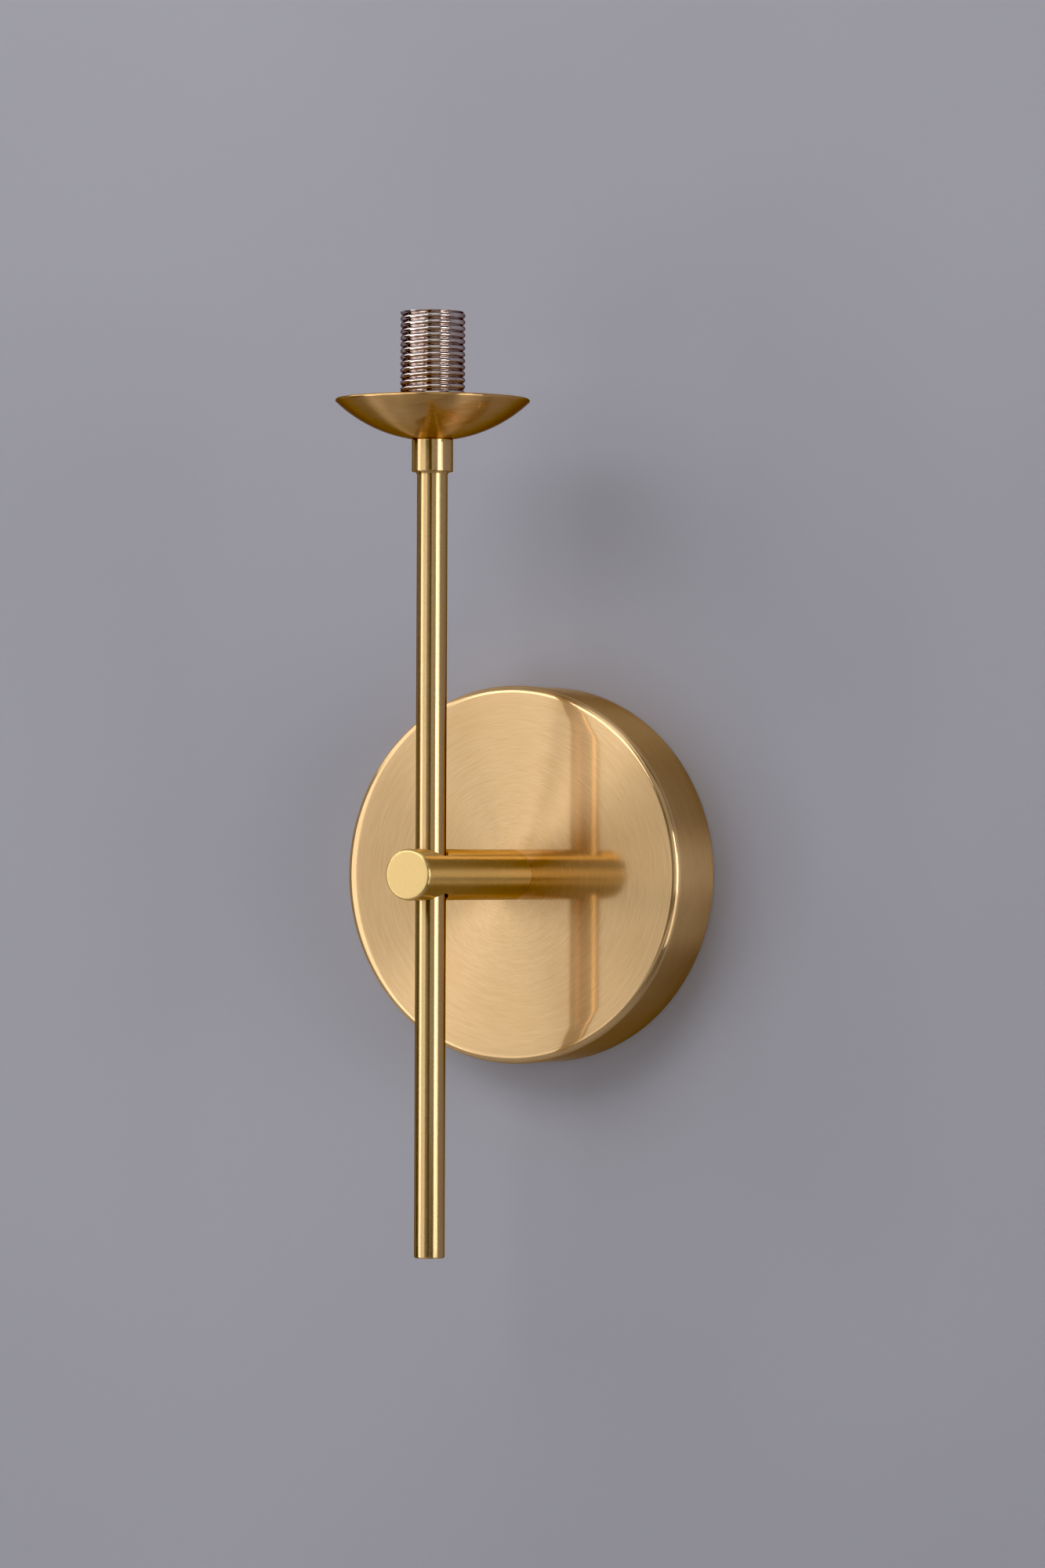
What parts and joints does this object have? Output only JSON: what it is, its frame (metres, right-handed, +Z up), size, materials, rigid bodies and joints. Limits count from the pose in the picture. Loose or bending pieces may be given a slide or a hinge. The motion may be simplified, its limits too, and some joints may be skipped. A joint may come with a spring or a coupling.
{
  "type": "wall light",
  "caption": "Wall light with a round brushed-brass canopy, a short arm, a slim upright stem, a shallow cup and a threaded nickel lampholder sleeve.",
  "frame": {"origin": "centre of the two wall screws, in the plane of the wall, which is the centre of the canopy's back", "axes": "+Z up, +Y into the wall, +X to the right as seen by someone facing the wall; the light stands out along -Y"},
  "size_m": [0.12, 0.1058, 0.2932],
  "materials": {
    "zinc_steel": "bright zinc plate",
    "black_rubber": "matt",
    "brass_screw": "bright, slightly tarnished",
    "terminal_plastic": "satin polyamide",
    "raw_brass": "machined",
    "brushed_brass_canopy": "fine concentric brushing under clear lacquer",
    "brushed_brass_arm": "fine turned brushing under clear lacquer",
    "thread_steel": "zinc-plated thread",
    "tinned_copper": "dull tin plate",
    "white_plastic": "smooth",
    "brushed_brass_stem": "fine brushing under clear lacquer",
    "brushed_brass_cup": "fine concentric brushing under clear lacquer",
    "nickel_plate": "polished nickel plate",
    "steatite": "unglazed white steatite ceramic",
    "spring_bronze": "satin phosphor bronze",
    "brown_insulation": "satin silicone insulation",
    "blue_insulation": "satin silicone insulation",
    "earth_insulation": "green with a yellow stripe"
  },
  "bodies": {
    "root": {"wall_bracket": "zinc_steel", "cable_grommet": "black_rubber", "earth_screw": "brass_screw", "earth_cup_washer": "zinc_steel", "terminal_block": "terminal_plastic", "terminal_inserts": "raw_brass", "terminal_screws": "zinc_steel", "block_screws": "zinc_steel", "canopy": "brushed_brass_canopy", "canopy_screws": "zinc_steel", "arm": "brushed_brass_arm", "arm_nipple": "thread_steel", "backing_washer": "zinc_steel", "earth_tag": "tinned_copper", "toothed_washer": "zinc_steel", "nipple_nut": "zinc_steel", "cable_bush": "white_plastic", "cross_nipple": "thread_steel", "upper_stem": "brushed_brass_stem", "lower_stem": "brushed_brass_stem", "stem_plug": "brushed_brass_stem", "collar": "brushed_brass_stem", "cup_nipple": "thread_steel", "cup": "brushed_brass_cup", "seat_washer": "zinc_steel", "threaded_sleeve": "nickel_plate", "holder_bridge": "zinc_steel", "holder_nut": "zinc_steel", "top_bush": "white_plastic", "ceramic_holder": "steatite", "contact_springs": "spring_bronze", "holder_screws": "zinc_steel", "live_wire": "brown_insulation", "neutral_wire": "blue_insulation", "earth_wire": "earth_insulation"}
  },
  "joints": []
}
